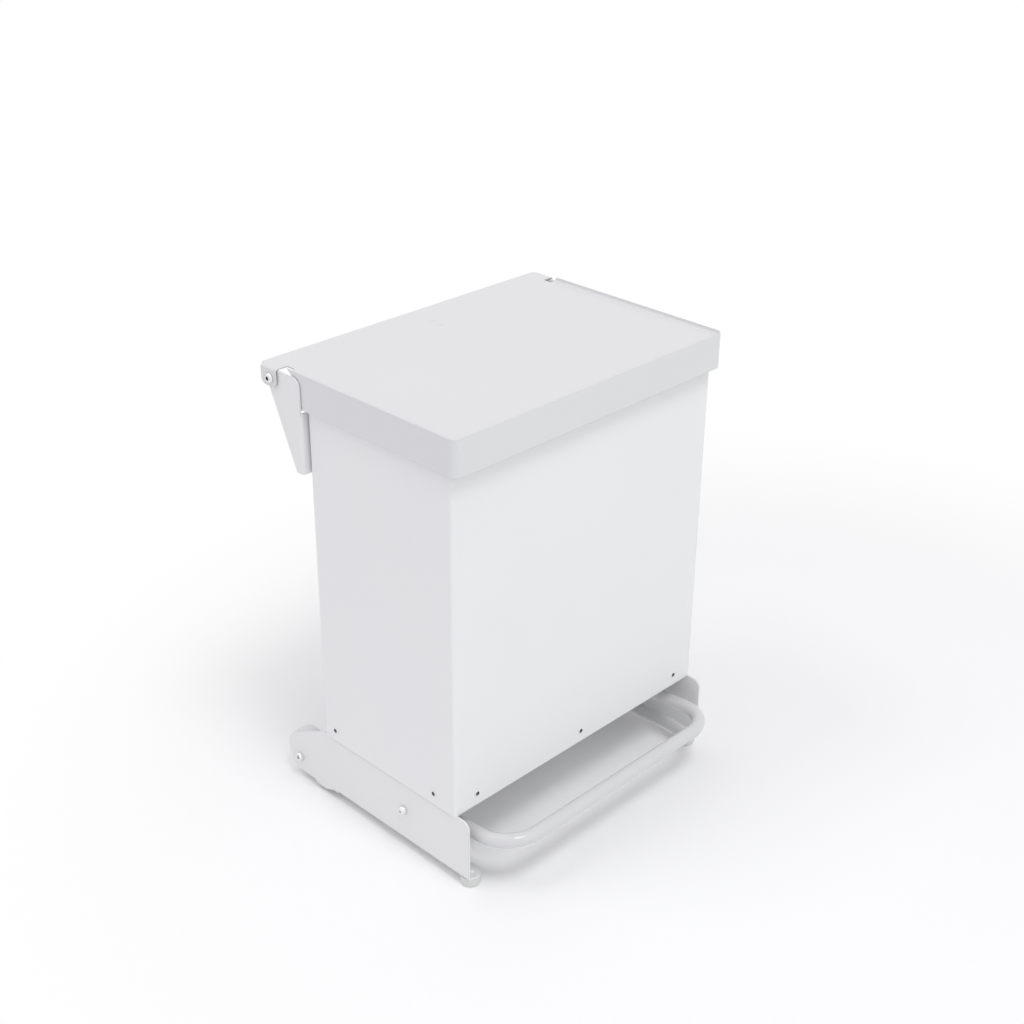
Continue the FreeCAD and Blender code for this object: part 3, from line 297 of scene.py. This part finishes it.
def beadAlong(path, closed):
    # a rippled tube along the path, drawn in at its ends unless it closes on itself
    radius = weldBead["radiusMm"] * mm
    rings, walked = [], 0
    for i, point in enumerate(path):
        before = path[i - 1] if i or closed else path[0]
        after = path[(i + 1) % len(path)] if i + 1 < len(path) or closed else path[-1]
        ahead = (after - before).normalized()
        walked += (point - path[i - 1]).length if i else 0
        ripple = 1 + weldBead["rippleShare"] * math.cos(2 * math.pi * walked / (weldBead["rippleMm"] * mm))
        fromMiddle = 2 * i / (len(path) - 1) - 1
        drawnIn = max(weldBead["endLeast"], 1 - fromMiddle ** weldBead["endPower"])
        share = 1 if closed else math.sqrt(drawnIn)
        side = ahead.orthogonal().normalized()
        other = ahead.cross(side)
        if rings:
            # keep the first point of each ring next to that of the ring before it
            lead = rings[-1][0] - path[i - 1]
            side = (lead - ahead * lead.dot(ahead)).normalized()
            other = ahead.cross(side)
        angles = [2 * math.pi * j / weldBead["sides"] for j in range(weldBead["sides"])]
        reach = radius * ripple * share
        rings.append([point + (side * math.cos(a) + other * math.sin(a)) * reach for a in angles])
    points, faces = joinRings(rings, closed)
    if not closed:
        last = len(points) - weldBead["sides"]
        faces.append(tuple(range(weldBead["sides"]))[::-1])
        faces.append(tuple(range(last, len(points))))
    return points, faces


def straightPath(start, end):
    start, end = Vector(start), Vector(end)
    count = max(weldBead["stepsLeast"], round((end - start).length / (weldBead["stepMm"] * mm)))
    return [start.lerp(end, i / count) for i in range(count + 1)]


def addBeads(name, paths, body, closed=False):
    points, faces = [], []
    for path in paths:
        start = len(points)
        beadPoints, beadFaces = beadAlong(path, closed)
        points += beadPoints
        faces += [tuple(start + index for index in face) for face in beadFaces]
    addPiece(name, points, faces, frameCoat, body)


def frameSeams():
    # the uprights' feet on the cross channel, and the channel's ends on the base sides
    crossLow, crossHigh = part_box("rear_cross_channel")
    inset = weldBead["radiusMm"] * mm
    seams = []
    for name in ("rear_upright_left", "rear_upright_right"):
        low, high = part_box(name)
        for x in (low[0], high[0]):
            seams.append(straightPath((x, low[1] + inset, crossHigh[2]), (x, high[1] - inset, crossHigh[2])))
    for x in (crossLow[0], crossHigh[0]):
        seams.append(straightPath((x, crossLow[1] + inset, crossHigh[2]),
                                  (x, crossHigh[1] - inset, crossHigh[2])))
        seams.append(straightPath((x, crossLow[1], crossLow[2] + inset),
                                  (x, crossLow[1], crossHigh[2] - inset)))
    return seams


def pedalSeams():
    # where each arm of the pedal's tube meets the round spindle
    low, high = [Vector(corner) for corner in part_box("pedal_tube")]
    spindleLow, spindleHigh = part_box("pedal_spindle")
    pivot = pivots["pedal_pivot"]
    spindle = (spindleHigh[2] - spindleLow[2]) / 2
    tube = weldBead["armRadiusMm"] * mm
    rise, forward = high[2] - tube - pivot[2], pivot[1] - low[1] - tube
    tilt = Matrix.Rotation(-math.atan2(rise, forward), 3, "X")
    count = round(2 * math.pi * tube / (weldBead["stepMm"] * mm))
    seams = []
    for armX in (low[0] + tube, high[0] - tube):
        ring = []
        for i in range(count):
            angle = 2 * math.pi * i / count
            lift = tube * math.sin(angle)
            onSpindle = Vector((armX + tube * math.cos(angle), -math.sqrt(spindle ** 2 - lift ** 2), lift))
            ring.append(tilt @ onSpindle + Vector((0, pivot[1], pivot[2])))
        seams.append(ring)
    return seams


addBeads("frameWelds", frameSeams(), "frame")
addBeads("pedalWelds", pedalSeams(), "pedal", closed=True)
print("weld beads laid")

floorLook = {"halfWidth": 9.0, "colour": "#fdfdfd", "centre": (0.24, -0.2, 0), "whiteFrom": 0.45,
             "whiteTo": 1.0}


def layFloor():
    half = floorLook["halfWidth"]
    mesh = bpy.data.meshes.new("studioFloor")
    corners = [(-half, -half, 0), (half, -half, 0), (half, half, 0), (-half, half, 0)]
    mesh.from_pydata(corners, [], [(0, 1, 2, 3)])
    floor = bpy.data.objects.new("studioFloor", mesh)
    bpy.context.scene.collection.objects.link(floor)
    # Matt paper that goes over to plain white away from the object, as the camera sees it
    material, tree = newMaterial("mattPaperFloor")
    place = addNode(tree, "ShaderNodeTexCoord").outputs["Object"]
    away = addNode(tree, "ShaderNodeVectorMath", {0: place, 1: floorLook["centre"]}, operation="DISTANCE")
    fade = addNode(tree, "ShaderNodeMapRange",
                   {"Value": away.outputs["Value"], "From Min": floorLook["whiteFrom"],
                    "From Max": floorLook["whiteTo"]}, interpolation_type="SMOOTHSTEP")
    path = addNode(tree, "ShaderNodeLightPath")
    seen = addNode(tree, "ShaderNodeMath", {0: fade.outputs["Result"], 1: path.outputs["Is Camera Ray"]},
                   operation="MULTIPLY")
    paper = addNode(tree, "ShaderNodeBsdfDiffuse", {"Color": linear(floorLook["colour"])})
    white = addNode(tree, "ShaderNodeEmission", {"Color": linear("#ffffff"), "Strength": 1.0})
    both = addNode(tree, "ShaderNodeMixShader",
                   {0: seen.outputs[0], 1: paper.outputs[0], 2: white.outputs[0]})
    addNode(tree, "ShaderNodeOutputMaterial", {"Surface": both.outputs[0]})
    mesh.materials.append(material)


layFloor()
print("floor laid")

studio = {"ambient": 0.69, "ambientColour": "#fdfcff"}
lamps = [
    {"name": "softboxTopRear", "place": (-1.7, 1.2, 4.2), "aim": (0, 0, 0.2), "size": 1.6, "watts": 20,
     "colour": "#ffffff"},
    {"name": "softboxTopFront", "place": (-0.45, -2.0, 4.5), "aim": (0, 0, 0.2), "size": 1.5, "watts": 55,
     "colour": "#ffffff"},
    {"name": "softboxLeft", "place": (-3.2, -0.7, 0.9), "aim": (0, 0, 0.2), "size": 2.0, "watts": 1.5,
     "colour": "#b9a8ff"},
    {"name": "softboxFront", "place": (0.2, -3.3, 0.9), "aim": (0, 0, 0.2), "size": 2.0, "watts": 5.5,
     "colour": "#dcffe6"},
]


def lightStudio():
    world = bpy.data.worlds.new("whiteRoom")
    world.use_nodes = True
    bpy.context.scene.world = world
    tree = world.node_tree
    tree.nodes.clear()
    path = addNode(tree, "ShaderNodeLightPath")
    seen = addNode(tree, "ShaderNodeMath",
                   {0: path.outputs["Is Camera Ray"], 1: path.outputs["Is Glossy Ray"]}, operation="MAXIMUM")
    seen = addNode(tree, "ShaderNodeMath", {0: seen.outputs[0], 1: path.outputs["Is Transmission Ray"]},
                   operation="MAXIMUM")
    soft = addNode(tree, "ShaderNodeBackground", {"Color": linear(studio["ambientColour"]),
                                                  "Strength": studio["ambient"]})
    white = addNode(tree, "ShaderNodeBackground", {"Color": linear("#ffffff"), "Strength": 1.0})
    both = addNode(tree, "ShaderNodeMixShader",
                   {0: seen.outputs[0], 1: soft.outputs[0], 2: white.outputs[0]})
    addNode(tree, "ShaderNodeOutputWorld", {"Surface": both.outputs[0]})
    for lamp in lamps:
        light = bpy.data.lights.new(lamp["name"], "AREA")
        light.shape = "DISK"
        light.size = lamp["size"]
        light.energy = lamp["watts"]
        light.color = linear(lamp["colour"])[:3]
        holder = bpy.data.objects.new(lamp["name"], light)
        holder.location = lamp["place"]
        sight = Vector(lamp["aim"]) - Vector(lamp["place"])
        holder.rotation_euler = sight.to_track_quat("-Z", "Y").to_euler()
        bpy.context.scene.collection.objects.link(holder)


lightStudio()

cameraLook = {"place": (-1.12285, -1.10518, 1.15875), "turn": (62.5233, -0.4005, -45.3373),
              "lens": 56.13, "sensor": 36.0}


def setCamera():
    camera = bpy.data.cameras.new("photoCamera")
    camera.lens = cameraLook["lens"]
    camera.sensor_width = cameraLook["sensor"]
    holder = bpy.data.objects.new("photoCamera", camera)
    holder.location = cameraLook["place"]
    holder.rotation_euler = [math.radians(angle) for angle in cameraLook["turn"]]
    bpy.context.scene.collection.objects.link(holder)
    bpy.context.scene.camera = holder


setCamera()
bpy.context.scene.view_settings.view_transform = "Standard"
print("camera and light set")
